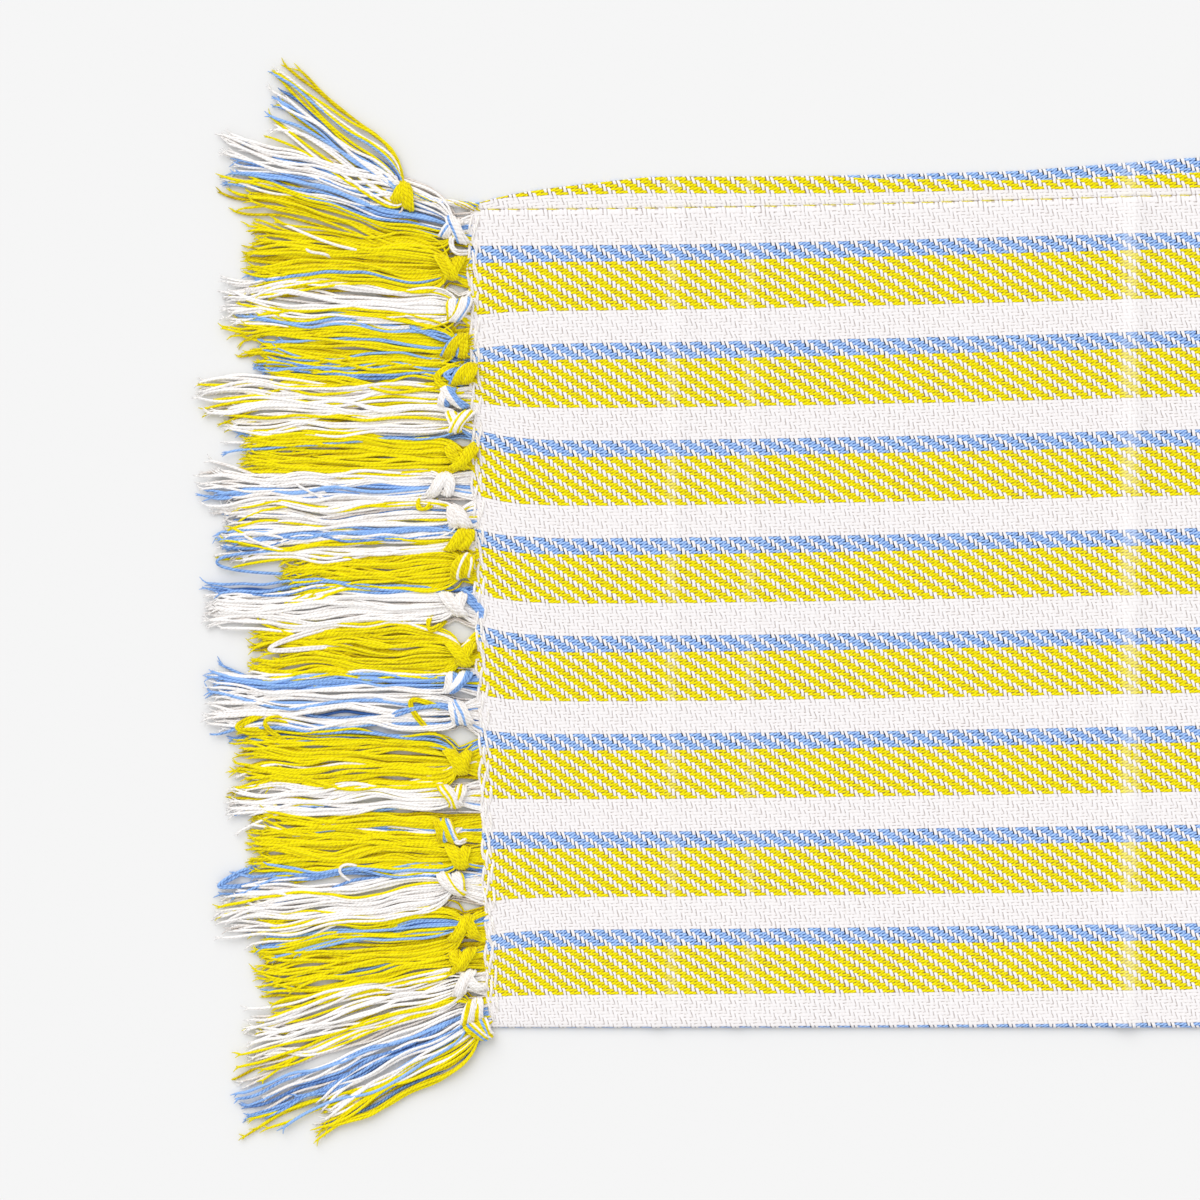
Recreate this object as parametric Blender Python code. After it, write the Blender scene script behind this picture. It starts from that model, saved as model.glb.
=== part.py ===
"""Runner rug: a striped cotton twill cloth with a row of knotted tassels at each end.

Units are metres, +Z is up. X runs along the rug, Y across it, and the floor is z = 0.
The origin is on the floor under the middle of the whole rug.

The cloth lies in two halves, so that it can fold over the line across its middle.
Its far long edge is tucked under and comes out again as a narrow band.
Each tassel is a bundle of the cloth's own warp yarns: a flat neck where the yarns leave
the cloth, an overhand knot, and a skirt of loose ends that widens towards its tip.
"""
import math

import bmesh
import bpy
from mathutils import Vector

MM = 0.001

# The cloth
CLOTH_LENGTH = 1.230
FACE_WIDTH = 0.432
CLOTH_THICKNESS = 0.0024
CORNER_RADIUS = 0.006
CORNER_STEPS = 3
EDGE_ROUNDING = 0.0005
GAP = 0.0003

# The face's far edge, placed so that the whole rug is centred on the origin
FAR_EDGE_Y = 0.2117

# The band beyond the far edge: its width at some distances from the cloth's end
BAND_THICKNESS = 0.0018
BAND_PROFILE = (
    (0.008, 0.004),
    (0.030, 0.008),
    (0.070, 0.011),
    (0.130, 0.014),
    (0.280, 0.0155),
    (0.360, 0.020),
    (0.460, 0.022),
    (0.615, 0.022),
)

# The last weft yarn, slipped loose, which crosses the cloth's end three times
PICK_DIAMETER = 0.0018
PICK_RUNS = 3
PICK_FIRST_INSET = 0.0030
PICK_SPACING = 0.0045
PICK_MARGIN = 0.0080
PICK_STEPS = 16
PICK_TURN_STEPS = 5
PICK_SWAY = 0.0006
PICK_WAVES = 3

# Tassels from the far edge to the near one, the same at both ends. Each row is the
# colour, then in millimetres: the knot's distance across from the far edge, the knot's
# distance out from the cloth's end, and the same two distances for the skirt's tip.
# A first row starts beyond the far edge, so its root is held at ROOT_LIMIT.
TASSELS = (
    ("mixed", -5, 33, -50, 107),
    ("mixed", 13, 9, -18, 128),
    ("yellow", 33, 10, 28, 112),
    ("white", 56, 8, 48, 124),
    ("yellow", 74, 8, 65, 114),
    ("mixed", 88, 8, 83, 107),
    ("white", 101, 10, 100, 136),
    ("mixed", 114, 8, 116, 122),
    ("yellow", 132, 8, 131, 112),
    ("white", 147, 14, 146, 134),
    ("white", 163, 8, 167, 120),
    ("yellow", 176, 8, 181, 126),
    ("yellow", 189, 8, 196, 92),
    ("white", 210, 8, 211, 134),
    ("yellow", 233, 8, 233, 107),
    ("mixed", 250, 8, 251, 129),
    ("white", 266, 8, 266, 130),
    ("yellow", 292, 8, 294, 117),
    ("white", 310, 9, 313, 117),
    ("yellow", 328, 11, 328, 108),
    ("yellow", 342, 8, 343, 108),
    ("white", 357, 8, 364, 125),
    ("mixed", 381, 8, 390, 107),
    ("yellow", 395, 8, 411, 97),
    ("white", 408, 8, 436, 110),
    ("mixed", 421, 8, 464, 116),
    ("mixed", 434, 8, 476, 75),
)
ROOT_LIMIT = -1
NECK_HALF_WIDTH = 0.0034
NECK_HALF_HEIGHT = 0.0010
KNOT_LENGTH = 0.010
KNOT_HALF_WIDTH = 0.0062
KNOT_HALF_HEIGHT = 0.0052
KNOT_END_SHARE = 0.65
KNOT_END_HALF_HEIGHT = 0.0028
WAIST_HALF_WIDTH = 0.0034
SKIRT_HALF_WIDTH = 0.016
SKIRT_HALF_HEIGHT = 0.0026
SKIRT_STATIONS = (0.25, 0.80)
TIP_SHARE = 0.85
TIP_HALF_HEIGHT = 0.0011
FLOOR_CLEARANCE = 0.0002
SHARE_OF_SPACING = 0.44
RING_SIDES = 8

COLOURS = {
    "yellow": (0.78, 0.68, 0.02, 1.0),
    "white": (0.86, 0.82, 0.80, 1.0),
    "mixed": (0.50, 0.60, 0.72, 1.0),
    "cloth": (0.84, 0.78, 0.42, 1.0),
    "band": (0.80, 0.74, 0.40, 1.0),
}
FABRIC_ROUGHNESS = 0.95


def clear_scene():
    """Remove every object that the file opened with."""
    for old in list(bpy.data.objects):
        bpy.data.objects.remove(old, do_unlink=True)


def make_fabric(name, colour):
    """One matt cotton finish."""
    material = bpy.data.materials.new(name)
    material.use_nodes = True
    shader = material.node_tree.nodes["Principled BSDF"]
    shader.inputs["Base Color"].default_value = colour
    shader.inputs["Roughness"].default_value = FABRIC_ROUGHNESS
    shader.inputs["Metallic"].default_value = 0.0
    return material


def add_object(name, bm, material, origin):
    """Turn a bmesh into a named object whose own origin is at the given point."""
    bmesh.ops.recalc_face_normals(bm, faces=bm.faces)
    bmesh.ops.translate(bm, verts=bm.verts, vec=-Vector(origin))
    mesh = bpy.data.meshes.new(name)
    bm.to_mesh(mesh)
    bm.free()
    mesh.materials.append(material)
    obj = bpy.data.objects.new(name, mesh)
    obj.location = origin
    bpy.context.collection.objects.link(obj)
    return obj


def add_slab(name, outline, thickness, material, origin):
    """A flat piece of cloth: an outline on the floor, extruded up, with soft edges."""
    bm = bmesh.new()
    base = bm.faces.new([bm.verts.new((x, y, 0.0)) for x, y in outline])
    side = bmesh.ops.extrude_face_region(bm, geom=[base])
    top = [item for item in side["geom"] if isinstance(item, bmesh.types.BMVert)]
    bmesh.ops.translate(bm, verts=top, vec=(0.0, 0.0, thickness))
    obj = add_object(name, bm, material, origin)
    bevel = obj.modifiers.new("soft_edges", "BEVEL")
    bevel.width = EDGE_ROUNDING
    bevel.segments = 1
    bevel.limit_method = "ANGLE"
    bevel.angle_limit = math.radians(60)
    return obj


def corner_arc(centre_x, centre_y, start_angle):
    """Points of a quarter circle that rounds one corner of the cloth."""
    points = []
    for step in range(CORNER_STEPS + 1):
        angle = start_angle + 0.5 * math.pi * step / CORNER_STEPS
        x = centre_x + CORNER_RADIUS * math.cos(angle)
        y = centre_y + CORNER_RADIUS * math.sin(angle)
        points.append((x, y))
    return points


def cloth_outline(side):
    """Half of the cloth, from the middle line to its end, with both end corners round."""
    end_x = CLOTH_LENGTH / 2
    far = FAR_EDGE_Y
    near = FAR_EDGE_Y - FACE_WIDTH
    points = [(GAP / 2, near)]
    points += corner_arc(end_x - CORNER_RADIUS, near + CORNER_RADIUS, -0.5 * math.pi)
    points += corner_arc(end_x - CORNER_RADIUS, far - CORNER_RADIUS, 0.0)
    points.append((GAP / 2, far))
    return [(side * x, y) for x, y in points]


def band_outline(side):
    """Half of the band: straight along the cloth, and widening away from the cloth's end."""
    inner_y = FAR_EDGE_Y + GAP
    end_x = CLOTH_LENGTH / 2
    points = [(GAP / 2, inner_y)]
    points.append((end_x - BAND_PROFILE[0][0], inner_y))
    for distance, width in BAND_PROFILE:
        points.append((max(end_x - distance, GAP / 2), inner_y + width))
    return [(side * x, y) for x, y in points]


def ring(bm, centre, across, half_width, half_height):
    """One oval ring of a swept piece, standing on its own direction across."""
    verts = []
    for step in range(RING_SIDES):
        angle = 2 * math.pi * step / RING_SIDES
        offset = across * (half_width * math.cos(angle))
        offset.z += half_height * math.sin(angle)
        verts.append(bm.verts.new(centre + offset))
    return verts


def skin_rings(bm, rings):
    """Join rings of equal size into one closed body."""
    count = len(rings[0])
    for first, second in zip(rings, rings[1:]):
        for step in range(count):
            after = (step + 1) % count
            bm.faces.new((first[step], first[after], second[after], second[step]))
    bm.faces.new(rings[0])
    bm.faces.new(rings[-1])


def across_at(row, out):
    """How far across a tassel's centre line is, at a distance out from the cloth."""
    _, knot_across, knot_out, tip_across, tip_out = row
    share = (out - knot_out) / (tip_out - knot_out)
    return knot_across + share * (tip_across - knot_across)


def room_at(index, out):
    """Half the width that a tassel may have at a distance out, between its neighbours."""
    row = TASSELS[index]
    neighbours = TASSELS[max(index - 1, 0):index] + TASSELS[index + 1:index + 2]
    spacing = min(abs(across_at(other, out) - across_at(row, out)) for other in neighbours)
    slope = (row[3] - row[1]) / (row[4] - row[2])
    return SHARE_OF_SPACING * spacing * MM * math.cos(math.atan(slope))


def add_tassel(index, side, side_name, materials):
    """One tassel: neck, knot, waist, skirt and tip, as one swept body.

    A point at u millimetres out and v millimetres across lies at
    x = side * (half the cloth + u), y = the far edge - v.
    """
    colour, knot_across, knot_out, tip_across, tip_out = TASSELS[index]
    name = f"tassel_{side_name}_{index + 1:02d}"

    def place(out, across, height):
        x = side * (CLOTH_LENGTH / 2 + out * MM)
        return Vector((x, FAR_EDGE_Y - across * MM, height))

    knot = place(knot_out, knot_across, 0.0)
    tip = place(tip_out, tip_across, 0.0)
    root = place(GAP / MM, max(knot_across, ROOT_LIMIT), 0.0)
    direction = (tip - knot).normalized()
    across = Vector((-direction.y, direction.x, 0.0))
    neck_direction = (knot - root).normalized()
    straight_across = Vector((0.0, side, 0.0))
    half_knot = KNOT_LENGTH / 2
    knot_room = min(KNOT_HALF_WIDTH, room_at(index, knot_out))
    tip_room = min(SKIRT_HALF_WIDTH, room_at(index, tip_out))
    skirt_length = (tip - knot).length - half_knot

    def skirt_point(share):
        return knot + direction * (half_knot + share * skirt_length)

    def skirt_width(share):
        return max(WAIST_HALF_WIDTH, knot_room + share * (tip_room - knot_room))

    knot_end = KNOT_END_SHARE * knot_room
    stations = [
        (root, straight_across, NECK_HALF_WIDTH, NECK_HALF_HEIGHT),
        (knot - neck_direction * half_knot, across, knot_end, KNOT_END_HALF_HEIGHT),
        (knot, across, knot_room, KNOT_HALF_HEIGHT),
        (knot + direction * half_knot, across, knot_end, KNOT_END_HALF_HEIGHT),
    ]
    for share in SKIRT_STATIONS:
        stations.append((skirt_point(share), across, skirt_width(share), SKIRT_HALF_HEIGHT))
    stations.append((skirt_point(1.0), across, TIP_SHARE * tip_room, TIP_HALF_HEIGHT))
    bm = bmesh.new()
    rings = []
    for centre, wide, half_width, half_height in stations:
        raised = centre + Vector((0.0, 0.0, half_height + FLOOR_CLEARANCE))
        rings.append(ring(bm, raised, wide, half_width, half_height))
    skin_rings(bm, rings)
    pivot = (side * (CLOTH_LENGTH + GAP) / 2, FAR_EDGE_Y - knot_across * MM, 0.0)
    return add_object(name, bm, materials[colour], pivot)


def pick_path(side):
    """The loose weft yarn's course: across the cloth, round, back, round and across again.

    Each crossing sways a little, and half circles at the edges join the crossings.
    """
    points = []
    near = FAR_EDGE_Y - FACE_WIDTH + PICK_MARGIN
    length = FACE_WIDTH - 2 * PICK_MARGIN
    for run in range(PICK_RUNS):
        inset = PICK_FIRST_INSET + run * PICK_SPACING
        towards_far = run % 2 == 0
        for step in range(PICK_STEPS + 1):
            share = step / PICK_STEPS
            sway = PICK_SWAY * math.sin(2 * math.pi * PICK_WAVES * share)
            y = near + length * (share if towards_far else 1 - share)
            points.append((inset + sway, y))
        if run < PICK_RUNS - 1:
            turn_y = near + (length if towards_far else 0.0)
            for step in range(1, PICK_TURN_STEPS):
                angle = math.pi * step / PICK_TURN_STEPS
                reach = PICK_SPACING / 2 * math.sin(angle) * (1 if towards_far else -1)
                points.append((inset + PICK_SPACING * (1 - math.cos(angle)) / 2, turn_y + reach))
    return [Vector((side * (CLOTH_LENGTH / 2 - inset), y, 0.0)) for inset, y in points]


def add_pick(side, side_name, material):
    """The loose weft yarn at one end, lying on top of the cloth."""
    radius = PICK_DIAMETER / 2
    lift = Vector((0.0, 0.0, CLOTH_THICKNESS + GAP + radius))
    path = pick_path(side)
    bm = bmesh.new()
    rings = []
    for index, point in enumerate(path):
        before = path[max(index - 1, 0)]
        after = path[min(index + 1, len(path) - 1)]
        along = (after - before).normalized()
        wide = Vector((-along.y, along.x, 0.0))
        rings.append(ring(bm, point + lift, wide, radius, radius))
    skin_rings(bm, rings)
    origin = (side * CLOTH_LENGTH / 2, 0.0, CLOTH_THICKNESS)
    return add_object(f"edge_pick_{side_name}", bm, material, origin)


def build():
    """The whole rug: two halves of cloth and band, and a loose pick and tassels at both ends."""
    clear_scene()
    materials = {name: make_fabric(name, colour) for name, colour in COLOURS.items()}
    fold_line = (0.0, 0.0, CLOTH_THICKNESS)
    for side, side_name in ((-1, "left"), (1, "right")):
        add_slab(f"cloth_{side_name}_half", cloth_outline(side), CLOTH_THICKNESS,
                 materials["cloth"], fold_line)
        add_slab(f"edge_band_{side_name}", band_outline(side), BAND_THICKNESS,
                 materials["band"], fold_line)
        add_pick(side, side_name, materials["white"])
        for index in range(len(TASSELS)):
            add_tassel(index, side, side_name, materials)


build()
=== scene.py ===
# %% [markdown]
# # A striped runner rug with a knotted fringe
#
# A runner rug is one long, narrow length of woven cotton. This one is a twill, striped in yellow,
# white and blue along its whole length. At each end the warp yarns, the ones that run lengthwise,
# are left long and are tied into 27 tassels. The script first loads the plain CAD model, which fixes
# every size and place, and then builds the textile that is seen around it.

# %% The packed model
import math

import bmesh
import bpy
import numpy as np
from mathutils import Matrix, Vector


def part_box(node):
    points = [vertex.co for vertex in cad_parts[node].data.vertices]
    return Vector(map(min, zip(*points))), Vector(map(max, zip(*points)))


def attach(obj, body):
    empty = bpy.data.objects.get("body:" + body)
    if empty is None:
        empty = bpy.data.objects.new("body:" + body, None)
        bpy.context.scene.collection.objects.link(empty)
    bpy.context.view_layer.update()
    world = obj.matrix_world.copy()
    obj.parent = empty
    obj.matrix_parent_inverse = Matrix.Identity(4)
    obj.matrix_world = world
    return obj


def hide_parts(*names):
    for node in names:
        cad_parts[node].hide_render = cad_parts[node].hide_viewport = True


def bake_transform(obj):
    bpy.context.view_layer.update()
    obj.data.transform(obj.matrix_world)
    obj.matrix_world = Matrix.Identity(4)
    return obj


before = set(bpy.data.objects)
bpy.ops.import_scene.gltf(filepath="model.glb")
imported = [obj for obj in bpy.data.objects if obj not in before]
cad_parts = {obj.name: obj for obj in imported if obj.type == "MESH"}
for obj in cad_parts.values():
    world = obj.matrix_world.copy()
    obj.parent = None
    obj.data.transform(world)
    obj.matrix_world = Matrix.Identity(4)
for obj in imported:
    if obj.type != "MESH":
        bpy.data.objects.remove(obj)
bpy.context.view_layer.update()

cloth_low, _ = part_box("cloth_left_half")
_, cloth_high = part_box("cloth_right_half")
END_X = cloth_high[0]
FAR_Y = cloth_high[1]
NEAR_Y = cloth_low[1]
CLOTH_THICKNESS = cloth_high[2] - cloth_low[2]
print("cloth", 2 * END_X, "m long and", FAR_Y - NEAR_Y, "m wide")

# %% [markdown]
# ## Yarns as tubes
#
# Everything loose on the rug is yarn: the fringe, the knots and the last wefts. A yarn could be a
# Blender curve with a round bevel, but then hundreds of curves would have to be turned into meshes
# one by one. Here a whole handful of yarns is one numpy array of points, and every ring of every
# tube is worked out in one step. Each tube is closed at both ends by a single point.

# %% Yarn tubes
YARN_SIDES = 6
END_BULGE = 0.6


def unit(vectors):
    """Vectors of length one: each divided by its own length."""
    return vectors / np.maximum(np.linalg.norm(vectors, axis=-1, keepdims=True), 1e-12)


def tube_rings(paths, radii, aside, sides):
    """Ring points = path + radius * (across * cos(turn) + over * sin(turn)), for turn from 0 to 2 pi.

    across is the path's direction crossed with the vector aside, and over is square to both.
    paths is yarns x stations x 3, and radii is yarns x stations. The pole that closes an end lies
    END_BULGE radii past its ring.
    """
    along = unit(np.gradient(paths, axis=1))
    across = unit(np.cross(along, aside))
    over = np.cross(along, across)
    turn = np.arange(sides) * 2 * math.pi / sides
    circle = (
        across[:, :, None] * np.cos(turn)[:, None]
        + over[:, :, None] * np.sin(turn)[:, None]
    )
    rings = paths[:, :, None] + circle * radii[:, :, None, None]
    start = paths[:, :1] - along[:, :1] * radii[:, :1, None] * END_BULGE
    end = paths[:, -1:] + along[:, -1:] * radii[:, -1:, None] * END_BULGE
    yarns, stations = radii.shape
    flat = rings.reshape(yarns, stations * sides, 3)
    return np.concatenate([flat, start, end], axis=1)


def tube_faces(yarns, stations, sides):
    """Corner numbers of the walls (four each) and of the two end fans (three each) of every tube."""
    s, k = np.meshgrid(np.arange(stations - 1), np.arange(sides), indexing="ij")
    after = (k + 1) % sides
    wall = np.stack(
        [s * sides + k, s * sides + after, (s + 1) * sides + after, (s + 1) * sides + k], -1
    )
    ring = np.arange(sides)
    step = (ring + 1) % sides
    last = (stations - 1) * sides
    poles = stations * sides + np.zeros(sides, int)
    fans = np.concatenate(
        [np.stack([poles, step, ring], -1), np.stack([poles + 1, last + ring, last + step], -1)]
    )
    block = (stations * sides + 2) * np.arange(yarns)
    walls = (wall.reshape(-1, 4)[None] + block[:, None, None]).reshape(-1, 4)
    ends = (fans[None] + block[:, None, None]).reshape(-1, 3)
    return walls, ends


print("faces of the shortest yarn:", sum(map(len, tube_faces(1, 2, YARN_SIDES))))

# %% [markdown]
# ## A map for the twist
#
# The twist of a yarn is a pattern that has to follow it round every bend, and a UV map can carry it.
# Blender could unwrap the tubes, but here the script already knows where each corner sits: so many
# metres along its yarn, and such a share of a turn round it. Those two numbers are the map.

# %% Yarn map
def tube_marks(paths, sides):
    """Each corner's own place on the yarn: metres along it, and the share of a turn round it."""
    steps = np.linalg.norm(np.diff(paths, axis=1), axis=2)
    run = np.concatenate([np.zeros((len(paths), 1)), np.cumsum(steps, axis=1)], axis=1)
    yarns, stations = run.shape
    shape = (yarns, stations - 1, sides)
    here = np.broadcast_to(run[:, :-1, None], shape)
    there = np.broadcast_to(run[:, 1:, None], shape)
    turn = np.broadcast_to(np.arange(sides) / sides, shape)
    onward = turn + 1 / sides
    corners = ((here, turn), (here, onward), (there, onward), (there, turn))
    walls = np.stack([np.stack(pair, -1) for pair in corners], -2).reshape(-1, 2)
    fan_shape = (yarns, 2, sides, 3)
    fan_run = np.broadcast_to(np.stack([run[:, 0], run[:, -1]], 1)[:, :, None, None], fan_shape)
    fan = np.stack([fan_run, np.zeros(fan_shape)], -1).reshape(-1, 2)
    return walls, fan


straight = np.array([[[0.0, 0.0, 0.0], [0.1, 0.0, 0.0]]])
print("a straight yarn of 0.1 m is", tube_marks(straight, YARN_SIDES)[0][:, 0].max(), "long on its map")

# %% [markdown]
# ## One mesh from many yarns
#
# A tassel holds dozens of yarns, and all of them go into one mesh. Adding faces one at a time is slow,
# so the arrays of every handful are put end to end, and foreach_set hands each array over in one go.
# Each point also carries a random tone, which makes its whole yarn a little deeper or paler than the
# next, and painted shade, which darkens the yarns low in a pile and lightens the frayed tips.

# %% One mesh
def yarn_bundle(paths, radii, dyes, tones, aside=(0.0, 0.0, 1.0), sides=YARN_SIDES):
    """All that one handful of yarns adds to a mesh, as whole arrays."""
    paths = np.asarray(paths, float)
    yarns, stations = paths.shape[:2]
    aside = np.asarray(aside, float)
    walls, ends = tube_faces(yarns, stations, sides)
    wall_marks, end_marks = tube_marks(paths, sides)
    return {
        "points": tube_rings(paths, radii, aside, sides).reshape(-1, 3),
        "walls": walls,
        "ends": ends,
        "wall_marks": wall_marks,
        "end_marks": end_marks,
        "wall_dyes": np.repeat(dyes, (stations - 1) * sides),
        "end_dyes": np.repeat(dyes, 2 * sides),
        "tones": np.repeat(tones, stations * sides + 2),
    }


def show(name, data):
    """A new object at the origin, which shows a mesh, a lamp or a camera."""
    piece = bpy.data.objects.new(name, data)
    bpy.context.scene.collection.objects.link(piece)
    return piece


def smooth_mesh(name, points, walls, ends):
    """A mesh with smooth faces: first the walls, of four corners, and then the ends, of three."""
    mesh = bpy.data.meshes.new(name)
    mesh.vertices.add(len(points))
    mesh.vertices.foreach_set("co", points.astype(np.float32).ravel())
    mesh.loops.add(walls.size + ends.size)
    corners = np.concatenate([walls.ravel(), ends.ravel()])
    mesh.loops.foreach_set("vertex_index", corners.astype(np.int32))
    mesh.polygons.add(len(walls) + len(ends))
    first_corners = np.concatenate(
        [np.arange(len(walls)) * 4, walls.size + np.arange(len(ends)) * 3]
    )
    mesh.polygons.foreach_set("loop_start", first_corners.astype(np.int32))
    mesh.polygons.foreach_set("use_smooth", np.ones(len(walls) + len(ends), bool))
    return mesh


def mesh_from_bundles(name, bundles, materials):
    """One object from several handfuls of yarn, with a UV map in metres and turns."""

    def all_of(*keys):
        return np.concatenate([bundle[key] for key in keys for bundle in bundles])

    starts = np.cumsum([0] + [len(bundle["points"]) for bundle in bundles])
    walls = np.concatenate([bundle["walls"] + start for bundle, start in zip(bundles, starts)])
    ends = np.concatenate([bundle["ends"] + start for bundle, start in zip(bundles, starts)])
    mesh = smooth_mesh(name, all_of("points"), walls, ends)
    for material in materials:
        mesh.materials.append(material)
    mesh.polygons.foreach_set("material_index", all_of("wall_dyes", "end_dyes").astype(np.int32))
    uv = mesh.uv_layers.new(name="yarn")
    uv.data.foreach_set("uv", all_of("wall_marks", "end_marks").astype(np.float32).ravel())
    tone = mesh.attributes.new("tone", "FLOAT", "POINT")
    tone.data.foreach_set("value", all_of("tones").astype(np.float32))
    mesh.update(calc_edges=True)
    mesh.validate()
    return show(name, mesh)


# %% [markdown]
# ## Wiring a material in plain arithmetic
#
# A weave is arithmetic: which yarn is on top, how high it stands, which colour it was dyed. Blender
# does arithmetic in Math nodes, one small sum in each. The class below lets a script write the sum
# as a sum, and makes the nodes for it, so that the formula of the cloth can be read in one glance.

# %% Sums that make nodes
class Wire:
    """One socket of a material. Adding or multiplying two wires makes a Math node."""

    def __init__(self, tree, socket):
        self.tree = tree
        self.socket = socket

    def do(self, operation, *others):
        """A Math node that works on this wire and the others, in that order."""
        node = self.tree.nodes.new("ShaderNodeMath")
        node.operation = operation
        for slot, value in zip(node.inputs, (self, *others)):
            join(self.tree, value, slot)
        return Wire(self.tree, node.outputs[0])

    def __add__(self, other):
        return self.do("ADD", other)

    def __sub__(self, other):
        return self.do("SUBTRACT", other)

    def __mul__(self, other):
        return self.do("MULTIPLY", other)

    def __truediv__(self, other):
        return self.do("DIVIDE", other)

    def __rsub__(self, other):
        return self * -1.0 + other

    __radd__ = __add__
    __rmul__ = __mul__

    def floor(self):
        """The whole number at or below the wire."""
        return self.do("FLOOR")

    def wave(self, length=1.0):
        """A cosine, 1 at 0 and again at each whole length."""
        return (self * (2 * math.pi / length)).do("COSINE")

    def soft_step(self, low, high):
        """0 below low, 1 above high, and a smooth rise between."""
        node = self.tree.nodes.new("ShaderNodeMapRange")
        node.interpolation_type = "SMOOTHSTEP"
        join(self.tree, self, node.inputs["Value"])
        node.inputs["From Min"].default_value = low
        node.inputs["From Max"].default_value = high
        return Wire(self.tree, node.outputs["Result"])


def join(tree, value, slot):
    """Links a wire to a socket, or sets a plain number or colour on it."""
    if isinstance(value, Wire):
        tree.links.new(value.socket, slot)
    else:
        slot.default_value = value


print("a wire can", ", ".join(name for name in vars(Wire) if not name.startswith("_")))

# %% [markdown]
# ## What every cotton has in common
#
# Cotton is matt, and it has a faint bright rim where its fibres catch the light. A Principled shader
# with a rough surface and a little sheen gives both. The other helpers below each wrap one kind of
# node: a mix of two colours, a cloudy noise, a place put together from numbers, and a relief.

# %% Cotton helpers
def colour(red, green, blue):
    """A colour as a screen shows it, 0 to 255, turned into the light that it stands for."""
    screen = np.array([red, green, blue]) / 255
    light = np.where(screen <= 0.04045, screen / 12.92, ((screen + 0.055) / 1.055) ** 2.4)
    return (*light.tolist(), 1.0)


def blend_colours(tree, share, first, second):
    """The first colour at share 0 and the second at share 1."""
    node = tree.nodes.new("ShaderNodeMix")
    node.data_type = "RGBA"
    join(tree, share, node.inputs["Factor"])
    join(tree, first, node.inputs["A"])
    join(tree, second, node.inputs["B"])
    return Wire(tree, node.outputs["Result"])


def mottle(tree, place, scale, detail=2.0):
    """Cloudy noise from 0 to 1 that reads a place on the piece."""
    node = tree.nodes.new("ShaderNodeTexNoise")
    join(tree, place, node.inputs["Vector"])
    node.inputs["Scale"].default_value = scale
    node.inputs["Detail"].default_value = detail
    return Wire(tree, node.outputs["Fac"])


def together(tree, x, y, z=0.0):
    """Three wires or numbers as one vector."""
    node = tree.nodes.new("ShaderNodeCombineXYZ")
    for slot, value in zip(node.inputs, (x, y, z)):
        join(tree, value, slot)
    return Wire(tree, node.outputs[0])


def new_cotton(name):
    """A material with a matt cotton shader, and the places that its pattern reads."""
    material = bpy.data.materials.new(name)
    material.use_nodes = True
    tree = material.node_tree
    shader = tree.nodes["Principled BSDF"]
    shader.inputs["Roughness"].default_value = 0.92
    shader.inputs["Specular IOR Level"].default_value = 0.12
    shader.inputs["Sheen Weight"].default_value = 0.10
    shader.inputs["Sheen Roughness"].default_value = 0.5
    marks = tree.nodes.new("ShaderNodeUVMap")
    split = tree.nodes.new("ShaderNodeSeparateXYZ")
    tree.links.new(marks.outputs[0], split.inputs[0])
    first, second = (Wire(tree, split.outputs[i]) for i in (0, 1))
    return material, tree, shader, Wire(tree, marks.outputs[0]), first, second


def relief(tree, shader, height, depth, strength=1.0):
    """Raises the surface by height times depth, in metres, as far as the light can tell."""
    bump = tree.nodes.new("ShaderNodeBump")
    bump.inputs["Strength"].default_value = strength
    bump.inputs["Distance"].default_value = depth
    join(tree, height, bump.inputs["Height"])
    tree.links.new(bump.outputs[0], shader.inputs["Normal"])


print("a middle grey on screen stands for", colour(128, 128, 128)[0], "of the light")

# %% [markdown]
# ## Three dyes of cotton yarn
#
# The yarn is two strands twisted together. Seen close, it is a row of slanting ridges, and the fine
# dark line between one ridge and the next is painted shade in the yarn's colour. The ridges could be
# modelled, but at less than two millimetres across they are the job of a relief in the material. It
# reads the tube's own UV map: metres along the yarn and turns round it, so the twist follows every
# bend.

# %% Cotton yarn
YARN_TURN = 0.0046
TWIST_DEPTH = 0.0003
# Each dye, then its darker colour: painted shade in the twist's grooves and low in the pile, and the
# deep side of each yarn's random tone.
YELLOW = colour(246, 230, 4)
YELLOW_TONE_AND_PAINTED_SHADE = colour(172, 140, 0)
WHITE = colour(253, 250, 248)
WHITE_TONE_AND_PAINTED_SHADE = colour(206, 192, 180)
BLUE = colour(150, 190, 246)
BLUE_TONE_AND_PAINTED_SHADE = colour(66, 104, 170)


def cotton_yarn(name, dye, shade, depth):
    """Twist: the ridge is the size of cos(2 pi * (length / YARN_TURN + share of a turn)).

    Painted shade: a point takes the shade colour where the ridge is low, and where the yarn lies low in
    the pile. It also takes it where a hair lies and where the yarn's random tone is deep. depth says
    how dark the painted shade in the groove between two ridges is.
    """
    material, tree, shader, _, length, turn = new_cotton(name)
    attribute = tree.nodes.new("ShaderNodeAttribute")
    attribute.attribute_name = "tone"
    tone = Wire(tree, attribute.outputs["Fac"])
    twist = length / YARN_TURN + turn
    ridge = (twist * 2).wave(2.0).do("ABSOLUTE")
    hairs = mottle(tree, together(tree, length * 260, turn * 3, tone * 40), 1.0, 3.0)
    # Painted shade where the ridge is low. The hair noise adds random darker specks, and the tone
    # attribute adds each yarn's random tone and the painted shade low in the pile.
    groove = ridge.soft_step(0.60, 0.0) * depth + hairs.soft_step(0.62, 0.30) * 0.4
    share = (groove + tone).do("MAXIMUM", 0.0).do("MINIMUM", 1.0)
    join(tree, blend_colours(tree, share, dye, shade), shader.inputs["Base Color"])
    relief(tree, shader, ridge * 0.75 + hairs * 0.6, TWIST_DEPTH)
    return material


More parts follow.
